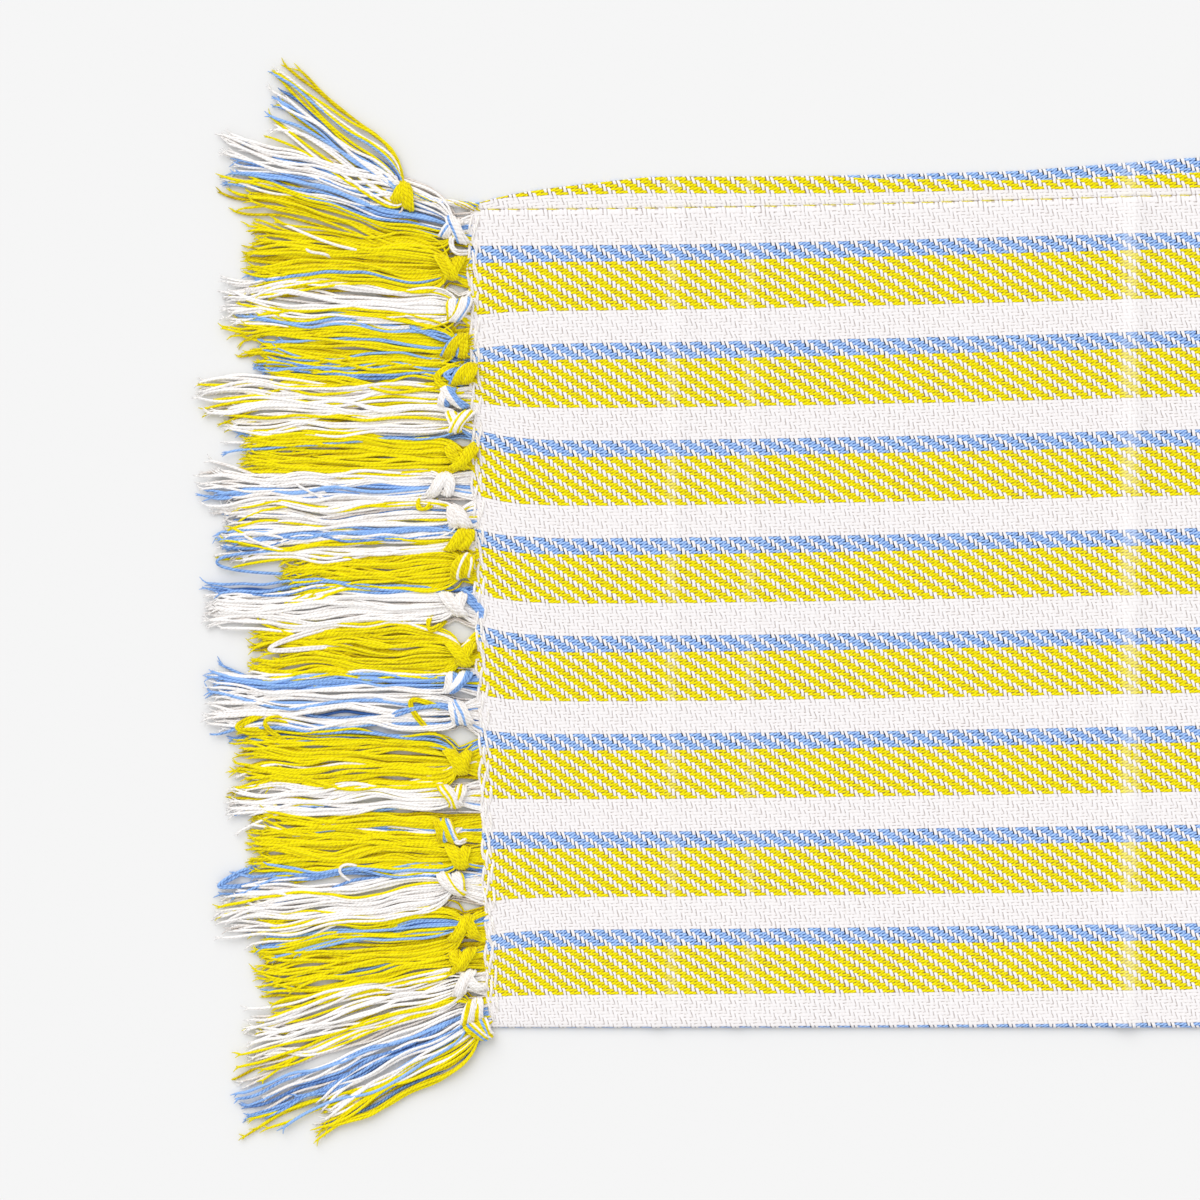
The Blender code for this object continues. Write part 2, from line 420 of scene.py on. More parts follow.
cottons = [
    cotton_yarn("yellow cotton", YELLOW, YELLOW_TONE_AND_PAINTED_SHADE, 0.45),
    cotton_yarn("white cotton", WHITE, WHITE_TONE_AND_PAINTED_SHADE, 0.25),
    cotton_yarn("blue cotton", BLUE, BLUE_TONE_AND_PAINTED_SHADE, 0.62),
]
DYES = "ywb"
print("dyes:", ", ".join(cotton.name for cotton in cottons))

# %% [markdown]
# ## The stripes
#
# The crosswise yarns of the cloth, the picks, are all white. The lengthwise yarns, the ends, are dyed
# in a repeat of thirty: five blue, fifteen yellow and ten white. Close up the dyes look paler than
# they do on the fringe, so the cloth has its own colours. Besides those there are the darker colours
# of the painted shade in the grooves, and of the painted shade in the small pits where the yarns
# cross. A pattern of this kind could be an image, but worked out from the yarns' own sizes it stays
# sharp at any distance.

# %% Stripes
END_PITCH = 0.001713
PICK_PITCH = 0.002604
REPEAT = 30
BLUE_ENDS = 5
YELLOW_FROM, YELLOW_TO = 5, 20
FIRST_BLUE_END = 11
# Each of these rows is for a white, a yellow and a blue end: the dyes, then the darker colours of the
# painted shade in the grooves and of the lint, then the painted shade in the pits.
CLOTH_DYES = colour(240, 237, 238), colour(252, 242, 6), colour(178, 212, 255)
CLOTH_TONES_AND_PAINTED_SHADES = colour(228, 220, 216), colour(196, 168, 0), colour(74, 114, 190)
CLOTH_PAINTED_PIT_SHADES = colour(186, 176, 173), colour(132, 98, 66), colour(20, 26, 52)


def dyed_ends(end):
    """Two wires: 1 on blue ends, and 1 on yellow ends, by the end's number in the repeat."""
    in_repeat = (end - FIRST_BLUE_END).do("FLOORED_MODULO", float(REPEAT))
    is_blue = in_repeat.do("LESS_THAN", BLUE_ENDS - 0.5)
    past_blue = in_repeat.do("GREATER_THAN", YELLOW_FROM - 0.5)
    return is_blue, past_blue * in_repeat.do("LESS_THAN", YELLOW_TO - 0.5)


def by_dye(tree, is_blue, is_yellow, white, yellow, blue):
    """One of three colours: the white one, unless the end is yellow or blue."""
    return blend_colours(tree, is_blue, blend_colours(tree, is_yellow, white, yellow), blue)


print("the stripes repeat every", REPEAT * END_PITCH, "m")

# %% [markdown]
# ## Where the yarns cross
#
# In this twill every end passes over two picks and then under two. Each end starts its float one pick
# further along than its neighbour, which draws the slanting lines. The rises and dips are cosines,
# and a half circle gives each yarn its round back. No cloth is quite even, so a soft noise moves
# the yarns a little, and a second one makes some picks slack.

# %% Crossings
WARP_HALF_WIDTH = 0.62
WEFT_HALF_WIDTH = 0.34
END_DRIFT = 0.45
PICK_DRIFT = 0.7


def round_back(beside):
    """Height of a round yarn: sqrt(1 - beside squared), and a steep fall outside the yarn."""
    square = beside * beside
    return (1 - square).do("MAXIMUM", 0.0).do("SQRT") - (square - 1).do("MAXIMUM", 0.0) * 1.5


def crossings(tree, place, length, across):
    """Each yarn's height is its rise (a cosine over four crossings) plus its round back.

    The end is over the pick where (pick - end) mod 4 is 0 or 1. Lengths are counted in picks and
    widths in ends, and beside is how far a point lies from the middle of its yarn.
    """
    pick_drift = mottle(tree, place, 150.0, 1.0)
    end_drift = mottle(tree, together(tree, across * 90, length * 130), 1.0, 1.0)
    picks = length / PICK_PITCH + (pick_drift - 0.5) * PICK_DRIFT
    ends = across / END_PITCH + (end_drift - 0.5) * END_DRIFT
    end, pick = ends.floor(), picks.floor()
    warp_rise = (picks - end - 1).wave(4)
    weft_rise = (ends - pick + 2).wave(4)
    swing = ((ends - pick).do("FLOORED_MODULO", 4.0) - 2).do("MAXIMUM", -1.0).do("MINIMUM", 1.0)
    beside_end = ends - end - 0.5
    beside_pick = picks - pick - 0.5 - swing * 0.18
    noise = tree.nodes.new("ShaderNodeTexWhiteNoise")
    join(tree, together(tree, end, pick, 0.5), noise.inputs["Vector"])
    slack = Wire(tree, noise.outputs["Value"])
    warp = warp_rise * 0.55 + round_back(beside_end / WARP_HALF_WIDTH)
    weft = weft_rise * 0.50 + round_back(beside_pick / WEFT_HALF_WIDTH) + slack * 0.34 - 0.22
    return end, pick, picks, beside_end, beside_pick, warp, weft, weft_rise, slack


# %% [markdown]
# ## Worn creases
#
# Where the cloth was folded and pressed, a crease runs across it, and a faint pale line is painted
# along its top as a painted highlight. The same list serves the shape of the cloth further down, so
# that each painted highlight lies on its own ridge.

# %% Creases
# Each row: place along the rug, rise and width in metres, and how much the crease leans.
CREASES = (
    (-0.5080, 0.0007, 0.0040, 0.35),
    (-0.4670, 0.0005, 0.0035, 0.3),
    (-0.2670, 0.0014, 0.0060, 0.1),
    (-0.1400, 0.0008, 0.0050, -0.2),
    (0.0, 0.0008, 0.0070, 0.0),
    (0.2900, 0.0012, 0.0060, 0.2),
    (0.4850, 0.0007, 0.0040, 0.1),
)
HIGHEST_CREASE = max(rise for _, rise, _, _ in CREASES)


def painted_crease_highlights(tree, length, across):
    """Share of painted highlight: up to 1 on the top of each crease and 0 away from it, broken up by a
    noise.
    """
    painted_crease_highlight = 0
    for where, rise, width, _ in CREASES:
        away = (length - (where + END_X)).do("ABSOLUTE")
        painted_crease_highlight = painted_crease_highlight + away.soft_step(width * 1.2, width * 0.1) * (rise / HIGHEST_CREASE)
    broken = mottle(tree, together(tree, length * 300, across * 60), 1.0)
    return painted_crease_highlight * broken.soft_step(0.25, 0.60)


print(len(CREASES), "creases, the highest of them", HIGHEST_CREASE, "m")

# %% [markdown]
# ## The woven cloth's finish
#
# Now the parts come together. The higher of the two yarns shows, in its own dye. It has a fine groove
# of painted shade between its strands, and painted shade in a pit wherever both yarns lie low. The
# same heights feed a relief, so that light from the side picks out the floats. Dyed ends stand out
# more than white ones.

# %% Twill
WEAVE_DEPTH = 0.00045


def twill(name):
    """Colour: the yarn on top, with painted shade in its grooves and pits, and a painted highlight on
    the creases.
    """
    material, tree, shader, place, length, across = new_cotton(name)
    end, pick, picks, beside_end, beside_pick, warp, weft, weft_rise, slack = crossings(
        tree, place, length, across
    )
    is_blue, is_yellow = dyed_ends(end)
    dyed_end = is_yellow + is_blue
    warp_shows = (warp - weft).soft_step(-0.16, 0.10)
    height = warp.do("MAXIMUM", weft)
    off_end = beside_end.do("ABSOLUTE")

    # Painted shade: the grooves of the ply streaks and the sides of each end take the darker colour,
    # and the lint noise adds random darker specks.
    streak = (picks + beside_end * 1.2).wave(1.0)
    lint = mottle(tree, together(tree, length * 2600, end * 1.7, pick * 0.31), 1.0, 2.0)
    groove = streak.soft_step(0.5, -0.9) * (dyed_end * 0.60 + 0.05)
    groove = groove + lint.soft_step(0.60, 0.25) * 0.4 + off_end.soft_step(0.26, 0.48) * 0.25
    groove = (groove * warp_shows).do("MINIMUM", 1.0)
    dyed = by_dye(tree, is_blue, is_yellow, *CLOTH_DYES)
    shade = by_dye(tree, is_blue, is_yellow, *CLOTH_TONES_AND_PAINTED_SHADES)
    end_colour = blend_colours(tree, groove, dyed, shade)
    yarn = blend_colours(tree, warp_shows, CLOTH_DYES[0], end_colour)

    # Painted shade: a dark line beside each weft float, dark pits where both yarns lie low, and dark
    # dots at some corners.
    beside = beside_pick.soft_step(-0.60, -0.44) * beside_pick.soft_step(-0.24, -0.34)
    shadow = beside * weft_rise.soft_step(0.15, 0.6)
    deep = slack * (is_blue * 0.6 + 0.9) + is_blue * 0.15 + 0.08
    corner = off_end.soft_step(0.26, 0.42) * beside_pick.do("ABSOLUTE").soft_step(0.24, 0.40)
    gap = corner * slack.soft_step(0.4, 0.8)
    painted_pit_shade = (height.soft_step(0.75, 0.35) * 0.7 + shadow * deep + gap).do("MINIMUM", 1.0)
    painted_pit_shade_colour = by_dye(tree, is_blue, is_yellow, *CLOTH_PAINTED_PIT_SHADES)

    # Painted highlight: the tops of the creases are mixed towards white, and their painted pit shade is
    # weakened.
    painted_crease_highlight = painted_crease_highlights(tree, length, across)
    woven = blend_colours(tree, painted_pit_shade * (1 - painted_crease_highlight * 0.7), yarn, painted_pit_shade_colour)
    join(tree, blend_colours(tree, painted_crease_highlight * 0.24, woven, WHITE), shader.inputs["Base Color"])
    raised = (height + streak * warp_shows * dyed_end * 0.07) * (dyed_end * 0.55 + 0.45)
    relief(tree, shader, raised, WEAVE_DEPTH, 0.9)
    return material


woven_cotton = twill("woven cotton")
print(woven_cotton.name, "is made of", len(woven_cotton.node_tree.nodes), "nodes")

# %% [markdown]
# ## Where the cloth's edges and stripes run
#
# The stripes bow a little, because the far long edge was tucked under by hand and the knots pull the
# last centimetres together. Three small curves hold all of that: the fold line of the far edge, the
# slanting end of the cloth, and how far the knots drag the ends sideways.

# %% Edge curves
def from_end(x):
    """Distance in metres from the nearest end of the cloth."""
    return END_X - np.abs(x)


def fold_line(x):
    """Far edge of the face: a half cosine from a low start at the ends to a high middle."""
    return FAR_Y + 0.0028 - 0.0055 * np.cos(math.pi * from_end(x) / END_X)


# Metres across the rug, and metres inside the square end there.
END_SLANT = ([-0.228, -0.20, 0.0, 0.19, 0.22], [0.0105, 0.0095, 0.0035, -0.0005, 0.0015])


def end_inset(y):
    """How far inside the square end the last pick lies, in metres."""
    return np.interp(y, *END_SLANT)


# Metres across from the fold line, and how far the knots drag the stripes there.
DRAG_AT = np.array([0.0, 18.8, 70.2, 121.6, 173.0, 224.5, 275.8, 327.2, 378.6, 430.0]) / 1000
DRAG = np.array([0.0, 0.0, -4.0, 9.0, 6.0, 7.5, 2.5, 0.0, -4.0, 0.0]) / 1000
DRAG_REACH = 0.016


def stripe_place(x, y):
    """Metres across the stripes from the fold line, with the knots' pull near the ends."""
    inside = from_end(x)
    widen = 1 - 0.008 * (1 - np.cos(math.pi * inside / END_X))
    across = (fold_line(x) - y) * widen
    return across + np.interp(across, DRAG_AT, DRAG) * np.exp(-np.maximum(inside, 0) / DRAG_REACH)


print("the far fold runs from", fold_line(-END_X), "at an end to", fold_line(0.0), "in the middle")

# %% [markdown]
# ## A closed sheet from a grid
#
# Cloth has a thickness. Blender's Solidify modifier could give a flat sheet one, but then both faces
# would carry the same stripes right through every fold. This sheet is drawn as one closed loop of
# rows instead: over the face, round the near fold, back underneath, and round the far fold. At the
# two ends the thickness shrinks to nothing, and the rows above and below meet in one line.

# %% Sheet helper
def closed_sheet(name, points, marks, material):
    """A grid of columns x rows of points made a mesh, and welded where its borders touch."""
    columns, rows = points.shape[:2]
    c, r = np.meshgrid(np.arange(columns - 1), np.arange(rows - 1), indexing="ij")
    corners = np.stack(
        [c * rows + r, c * rows + r + 1, (c + 1) * rows + r + 1, (c + 1) * rows + r], -1
    ).reshape(-1, 4)
    mesh = smooth_mesh(name, points.reshape(-1, 3), corners, np.zeros((0, 3), int))
    uv = mesh.uv_layers.new(name="weave")
    uv.data.foreach_set("uv", marks.reshape(-1, 2)[corners.ravel()].astype(np.float32).ravel())
    mesh.update(calc_edges=True)
    sewn = bmesh.new()
    sewn.from_mesh(mesh)
    bmesh.ops.remove_doubles(sewn, verts=sewn.verts, dist=2e-6)
    bmesh.ops.dissolve_degenerate(sewn, edges=sewn.edges, dist=1e-7)
    bmesh.ops.recalc_face_normals(sewn, faces=sewn.faces)
    sewn.to_mesh(mesh)
    sewn.free()
    mesh.materials.append(material)
    return show(name, mesh)


def loop_of_rows(x, far, near, half, middle, rows):
    """The closed loop of rows round a sheet, for every column.

    Face: y runs from far to near at middle + half. Fold: half a circle of that radius. The back
    returns at middle - half. Gives the points, and how many rows each fold has.
    """
    share = np.linspace(0, 1, rows)
    turn = np.linspace(0, math.pi, 7)[1:-1]
    y_face = far + (near - far) * share
    columns = len(x)
    height = middle(x[:, None], y_face)
    half = np.broadcast_to(half, (columns, 1))
    face = np.stack([np.broadcast_to(x[:, None], y_face.shape), y_face, height + half], -1)
    back = np.stack([face[..., 0], y_face, height - half], -1)[:, ::-1]

    def rim(edge, level, sign):
        """Half a circle round one long edge: sign is 1 at the near one and -1 at the far one."""
        rim_x = np.broadcast_to(x[:, None], (columns, len(turn)))
        out, up = sign * half * np.sin(turn), sign * half * np.cos(turn)
        return np.stack([rim_x, edge - out, level + up], -1)

    near_rim = rim(near, height[:, -1:], 1)
    far_rim = rim(far, height[:, :1], -1)
    return np.concatenate([face, near_rim, back, far_rim, face[:, :1]], axis=1), len(turn)


square = np.zeros((1, 1))
flat_loop, fold_rows = loop_of_rows(np.zeros(1), square + 0.1, square, 0.001, lambda x, y: 0 * y, 2)
print("a loop over 2 rows has", flat_loop.shape[1], "points, and", fold_rows, "are in each fold")

# %% [markdown]
# ## The woven cloth
#
# The rug lies flat, but not like a board: it keeps the soft ripples of a cloth that has been folded
# and shaken out, and a few pressed creases run across it. The ripples are sums of long waves, and
# each crease is a narrow ridge. Close to the ends the grid is finer, the ripples die away, the end
# slants, and the stripes are drawn towards each knot.

# %% Cloth surface
HALF_CLOTH = CLOTH_THICKNESS / 2
FOLD_HIDES = 0.0020
LIFT = 0.0001
ACROSS_ROWS = 140


def ripples(x, y):
    """Height of the cloth's middle: long waves, never below the floor, plus the pressed creases."""
    wave = (
        np.sin(x * 21 + y * 6 + 0.4) + np.sin(x * 9 - y * 11 + 1.7) + np.sin(x * 34 + y * 3) * 0.5
    )
    calm = np.clip(from_end(x) / 0.03, 0, 1)
    height = HALF_CLOTH + LIFT + 0.00035 * (1 + wave / 2.5) * calm
    for where, rise, width, lean in CREASES:
        height = height + 1.6 * rise * np.exp(-(((x - where - lean * y * 0.1) / width) ** 2))
    return height


def cloth_columns():
    """Places of the columns: close at both ends and over the fold in the middle."""
    close = [0, 0.15, 0.45, 0.8, 1.2, 1.9, 2.8, 4, 5.5, 7, 9, 11, 13.5, 16, 19, 22, 26]
    edge = np.array(close) / 1000
    fold = np.linspace(-0.003, 0.011, 15)
    left = np.linspace(-END_X + 0.030, -0.006, 145)
    right = np.linspace(0.014, END_X - 0.030, 145)
    return np.concatenate([-END_X + edge, left, fold, right, (END_X - edge)[::-1]])


columns = cloth_columns()
rim_share = np.clip(from_end(columns) / 0.0012, 0, 1)
half_thickness = (HALF_CLOTH * np.sqrt(1 - (1 - rim_share) ** 2))[:, None]
scallop = 0.0002 * np.cos(2 * math.pi * columns / (4 * PICK_PITCH))
loop, rim_rows = loop_of_rows(
    columns,
    (fold_line(columns) - HALF_CLOTH * 0.6 + scallop)[:, None],
    np.full((len(columns), 1), NEAR_Y + HALF_CLOTH * 0.4),
    half_thickness,
    ripples,
    ACROSS_ROWS,
)
across = stripe_place(loop[..., 0], loop[..., 1])
across = across + FOLD_HIDES * np.exp(-np.abs(across) / 0.0015)
arc = HALF_CLOTH * math.pi * np.arange(1, rim_rows + 1) / (rim_rows + 1)
across[:, ACROSS_ROWS : ACROSS_ROWS + rim_rows] = across[:, ACROSS_ROWS - 1 : ACROSS_ROWS] + arc
marks = np.stack([np.broadcast_to(columns[:, None] + END_X, across.shape), across], -1)
pull = np.clip(1 - from_end(columns) / 0.1, 0, 1)[:, None] ** 2
loop[..., 0] -= np.sign(loop[..., 0]) * end_inset(loop[..., 1]) * pull
cloth = closed_sheet("woven_cloth", loop, marks, woven_cotton)
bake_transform(cloth)
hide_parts("cloth_left_half", "cloth_right_half")
print("cloth faces", len(cloth.data.polygons))

# %% [markdown]
# ## The tucked far edge
#
# Past the fold line the cloth comes out again from underneath as a narrow band. It is almost nothing
# at the ends of the rug and two fingers wide in the middle. Towards the middle a second layer, with
# a blue stripe, looks out from under the first. Each layer is a closed sheet like the cloth, and its
# UV map starts at the dye that shows at its own fold.

# %% Band
# Metres from the end of the rug, and there: how far the band reaches past the cloth's far edge, how
# much of it is the second layer, and how wide its white stripe is.
BAND_RISE = (
    [0.0, 0.017, 0.039, 0.060, 0.080, 0.095, 0.175, 0.206, 0.290, 0.305, 0.385, 0.50, 0.616],
    [-0.0006, 0.0047, 0.0084, 0.0110, 0.0132, 0.0150, 0.0152]
    + [0.0158, 0.0179, 0.0192, 0.0252, 0.029, 0.030],
)
UNDER_SHOWS = (
    [0.0, 0.19, 0.21, 0.29, 0.305, 0.385, 0.616],
    [0.0, 0.0, 0.0018, 0.0047, 0.0058, 0.0078, 0.0085],
)
WHITE_SHARE = (
    [0.0, 0.017, 0.04, 0.09, 0.2, 0.29, 0.385, 0.616],
    [0.0022, 0.0062, 0.0076, 0.0084, 0.0063, 0.0058, 0.0042, 0.0042],
)
BAND_HALF = 0.0008
UNDER_HALF = 0.0005
BAND_ROWS = 9


def band_top(x):
    """Far edge of the whole band, eased by averaging the listed heights over 2 cm."""
    spread = np.linspace(-0.01, 0.01, 9)
    return FAR_Y + np.mean([np.interp(from_end(x) + s, *BAND_RISE) for s in spread], axis=0)


def band_sheet(name, low, high, half, level, top_end, lift, material):
    """A closed strip between the curves low and high, whose dyes are those that top_end gives.

    The strip's middle runs at level plus lift times sin(40 x), and it closes to a line at both ends.
    """
    xs = np.linspace(-END_X + 0.001, END_X - 0.001, 330)
    near = (low(xs) + half + 0.0001)[:, None]
    far = np.maximum(high(xs)[:, None] - half, near + 0.0002)
    closed = 1 - np.clip(from_end(xs) - 0.001, 0, 0.002) / 0.002
    closing = half * np.sqrt(1 - closed**2)[:, None]
    ring, _ = loop_of_rows(
        xs, far, near, closing, lambda x, y: level + lift * np.sin(x * 40) + 0 * y, BAND_ROWS
    )
    stripes = top_end(xs[:, None], ring[..., 1])
    marks_here = np.stack([np.broadcast_to(xs[:, None] + END_X, stripes.shape), stripes], -1)
    piece = closed_sheet(name, ring, marks_here, material)
    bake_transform(piece)
    return piece


def upper_low(x):
    """Near edge of the first layer: a hair past the fold line."""
    return fold_line(x) + 0.0003


def upper_high(x):
    """Far edge of the first layer: the top of the band less what the second layer shows."""
    return band_top(x) - np.interp(from_end(x), *UNDER_SHOWS)


def upper_dyes(x, y):
    """White next to the fold line, then yellow: the place where the dyes change, less the height."""
    change = (FIRST_BLUE_END + YELLOW_TO) * END_PITCH
    return change + np.interp(from_end(x), *WHITE_SHARE) - (y - fold_line(x))


def under_dyes(x, y):
    """Blue at the far edge, then white and yellow where the layer dips under the first."""
    return (FIRST_BLUE_END + REPEAT) * END_PITCH + 0.0002 + (band_top(x) - y)


band = band_sheet(
    "tucked_band", upper_low, upper_high, BAND_HALF, 0.0010, upper_dyes, 0.0001, woven_cotton
)
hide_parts("edge_band_left", "edge_band_right")
under = band_sheet(
    "tucked_under_band",
    lambda x: upper_high(x) - 0.0022,
    lambda x: np.maximum(band_top(x), upper_high(x) + 0.0001),
    UNDER_HALF,
    0.0007,
    under_dyes,
    0.0,
    woven_cotton,
)
print("band", band.dimensions[1], "m across at its widest place")

# %% [markdown]
# ## The fringe: what each tassel holds
#
# Each line below is one tassel, counted from the far corner. It gives where its knot sits and where
# its tips end, in millimetres across the rug from the far edge and out from the cloth's end, then
# the wrapping colours of the knot, and the dyes of its yarns from the far side to the near side.

# %% Tassel list
TASSELS = (
    (-5, 33, -71, -38, 100, "yyyyyy", "ywybywbbwywyyw"),
    (13, 7, -36, 0, 124, "wwwwbw", "wwwwwwwbbbwwbybyyyyyy"),
    (33, 10, 13, 42, 110, "yyyyyy", "yyyyyyyyyyyyyyyyyyybyyyyyy"),
    (55, 5, 39, 65, 122, "wbwwwy", "wwwywwwwwwwwwywwwwwyy"),
    (74, 6, 52, 80, 114, "yyyyyb", "yyyybbyyyyybyyyyybyy"),
    (89, 2, 78, 95, 107, "yyyyyb", "bbyybyybbyyyyy"),
    (101, 9, 94, 106, 136, "bbbwww", "wwwywwwwywyww"),
    (114, 5, 106, 123, 122, "wywwyw", "wwywwyywwywwbb"),
    (133, 3, 120, 141, 112, "yyyyyy", "yyyyyyyyyyyyyyyyyyyyyyyy"),
    (147, 14, 141, 158, 134, "wwwwww", "wwwwwwwwbbwwbwww"),
    (164, 5, 157, 178, 122, "wwwwww", "wwywwwbwwwwywwwbbwww"),
    (176, 4, 172, 188, 124, "yyyyyy", "bbwwbwyywwwwwy"),
    (190, 3, 184, 206, 92, "yywyyy", "yyyyyyyyyyyyyyyyyyyyyyyy"),
    (210, 7, 201, 222, 130, "wwwwww", "bbbwwwwwwwwwwwwwwwwwww"),
    (236, 4, 219, 248, 107, "yyyyyy", "yywyyyyyyyyyyyyyyyyyyyyyyyyy"),
    (251, 6, 246, 256, 129, "bbbwww", "wwbbbbybbbww"),
    (267, 4, 256, 276, 130, "wwwbww", "wwwwwbwwwwwbwwwbwww"),
    (293, 5, 276, 307, 117, "yyyyyy", "ybbyybyyyyyyyyyywyyyyyyyyyyy"),
    (311, 8, 306, 321, 118, "wwwywy", "wwwwwwwywwwbwww"),
    (329, 11, 319, 335, 108, "ywbyyy", "yyyyyyyyybwyyyyyyy"),
    (343, 5, 334, 353, 108, "yyyyyy", "yyyyyyyyyyyyyyyyybyb"),
    (357, 8, 354, 384, 125, "wywwww", "bbwbwwwwwywwwwwwwwwwww"),
    (380, 2, 377, 406, 107, "yyyyyy", "yyyyyybbbyybyyyyyyyyyy"),
    (397, 3, 404, 424, 102, "yyyyyy", "yyybyyyyyyyyyy"),
    (409, 1, 426, 450, 110, "wwwwww", "wwwwwwywwwwwwww"),
    (424, -2, 452, 486, 116, "wwwyyw", "yyywwwbbwbbbyy"),
    (434, -6, 466, 489, 75, "ywybyy", "wwbwywwywyybyy"),
)
YARNS_PER_LETTER = 2
print(len(TASSELS), "tassels an end,", sum(len(row[-1]) for row in TASSELS), "dye marks an end")

# %% [markdown]
# ## One tassel
#
# A tassel is made in three moves. The ends leave the cloth side by side and gather. They pass
# through a knot, which is the same yarns wrapped round themselves. Then they spread into a skirt
# that sinks to the floor, a few layers deep, and each yarn frays open at its tip. Every yarn follows
# the same formula with its own small differences, drawn from a seeded list of random numbers.

# %% Yarn paths
MM = 0.001
YARN_RADIUS = 0.8 * MM
ROOT_STATIONS = 9
SKIRT_STATIONS = 36
CLUMPS = 5
PILE_HIGH = 3.6 * MM


def smooth(t):
    """0 at 0, 1 at 1, level at both."""
    t = np.clip(t, 0, 1)
    return t * t * (3 - 2 * t)


def skirt_paths(rng, knot, tip_far, tip_near, reach, count):
    """Yarns from the knot to their tips.

    Across: the knot's place, plus the lean of the whole tassel, plus each yarn's share of the spread,
    which opens early. Height: from the knot down to the yarn's layer. Waves are added to both.
    """
    t = np.linspace(0, 1, SKIRT_STATIONS)[None]
    rank = ((np.arange(count) + 0.5 + rng.uniform(-0.35, 0.35, count)) / count)[:, None]
    spread = (rank - 0.5) * (tip_near - tip_far)
    lean = (tip_near + tip_far) / 2 - knot[1]
    length = (reach - knot[0]) * (1.05 - np.abs(rng.normal(0, 0.10, count))[:, None])
    out = knot[0] + length * t
    opening = 1 - (1 - t) ** rng.uniform(11.0, 24.0, (count, 1))
    drift = rng.standard_t(3, (count, 1)) * 0.06 * (tip_near - tip_far) * t
    across = knot[1] + lean * t ** rng.uniform(0.75, 1.05, (count, 1)) + spread * opening + drift
    common = rng.uniform(0, 6.28, 4)
    clump = rng.uniform(0, 6.28, (CLUMPS, 2))[(rank[:, 0] * CLUMPS).astype(int) % CLUMPS]
    own = rng.uniform(0, 6.28, (count, 4))
    swell = smooth(t * 2.5)
    mm = length * t * 1000
    # Waves in millimetres: two that the tassel shares, two of each clump, and two of each yarn.
    wander = (
        1.0 * np.sin(mm / 12 + common[0] + rank * 3)
        + 0.5 * np.sin(mm / 6.5 + common[1] + rank * 7)
        + 1.5 * np.sin(mm / 15 + clump[:, :1]) + 0.6 * np.sin(mm / 7 + clump[:, 1:])
        + 0.75 * np.sin(mm / rng.uniform(8, 16, (count, 1)) + own[:, :1])
        + 0.28 * np.sin(mm / rng.uniform(3, 5, (count, 1)) + own[:, 1:2])
    )
    curl = rng.normal(0, 2.2, (count, 1)) * np.clip((t - 0.72) / 0.28, 0, 1) ** 2
    across = across + (wander * swell + curl) * MM
    layer = rng.permutation(count)[:, None] / count
    rest = YARN_RADIUS * 1.05 + layer * PILE_HIGH * (1 - 0.40 * t)
    ripple = 0.35 * MM * (1 + np.sin(mm / rng.uniform(7, 14, (count, 1)) + own[:, 2:3])) * swell
    height = rest + ripple + (knot[2] - rest) * np.exp(-mm / 10.0)
    return np.stack([out, across, height], -1), rank, layer


def root_paths(rng, knot, share_far, share_near, rank, core, count):
    """Yarns from inside the cloth to the knot: an eased slide from their own place to the core."""
    t = np.linspace(0, 1, ROOT_STATIONS)[None]
    start_across = share_far + (share_near - share_far) * rank
    inset = -end_inset(FAR_Y - start_across)
    start_out = inset - rng.uniform(2.0, 6.5, (count, 1)) * MM
    out = start_out + (knot[0] - start_out) * t
    pull = smooth(t**1.3) * 0.75 + t**1.3 * 0.25
    across = start_across + (knot[1] + core[..., 0] * MM - start_across) * pull
    low = 1.0 * MM
    top = rng.uniform(1.8, 3.0, (count, 1)) * MM
    climb = knot[2] + core[..., 1] * MM - top
    height = low + (top - low) * smooth(t * 2.2) + climb * smooth(t * 1.6 - 0.6)
    return np.stack([out, across, height], -1)


NECK_Z = 2.3 * MM


def twisted_neck(roots, rank, knot):
    """The far corner's roots as one cord: each yarn winds round a straight line to the knot."""
    t = np.linspace(0, 1, ROOT_STATIONS)[None]
    turn = rank * 2 * math.pi + t * 2.6 * math.pi
    wide = (1.9 - 0.9 * np.sin(math.pi * t)) * MM
    line = roots[:, :1, 1].mean() + (knot[1] - roots[:, :1, 1].mean()) * t
    roots[..., 1] = line + wide * np.cos(turn)
    roots[..., 2] = NECK_Z + (knot[2] - NECK_Z) * smooth(t) + 0.8 * wide * np.sin(turn)
    return roots


def tips(rng, paths, dyes, tones):
    """Three thin strands past each yarn's end, spreading and dropping to the floor."""
    count = len(paths)
    ends = np.repeat(paths[:, -1], 3, axis=0)
    along = np.repeat(unit(paths[:, -1] - paths[:, -4]), 3, axis=0)
    sideways = unit(np.cross(along, [0, 0, 1.0]))
    t = np.linspace(0, 1, 4)[None, :, None]
    length = rng.uniform(1.5, 5.5, (count * 3, 1, 1)) * MM
    flare = rng.normal(0, 0.30, (count * 3, 1, 1))
    curve = rng.normal(0, 0.22, (count * 3, 1, 1))
    path = ends[:, None] + length * (
        along[:, None] * t + sideways[:, None] * (flare * t + curve * t * t)
    )
    path[..., 2] += rng.uniform(-0.4, 0.5, (count * 3, 1)) * MM * t[..., 0]
    path[..., 2] = np.maximum(path[..., 2], 0.4 * MM)
    start = path[:, :1] - along[:, None] * 1.2 * MM
    path = np.concatenate([start, path], axis=1)
    radii = np.broadcast_to(np.array([0.50, 0.50, 0.44, 0.34, 0.16]) * MM, path.shape[:2])
    # Painted light: taking 0.35 off the tone makes the frayed tips paler than their yarn, against their
    # shade.
    return yarn_bundle(path, radii, np.repeat(dyes, 3), np.repeat(tones, 3) - 0.35, sides=4)


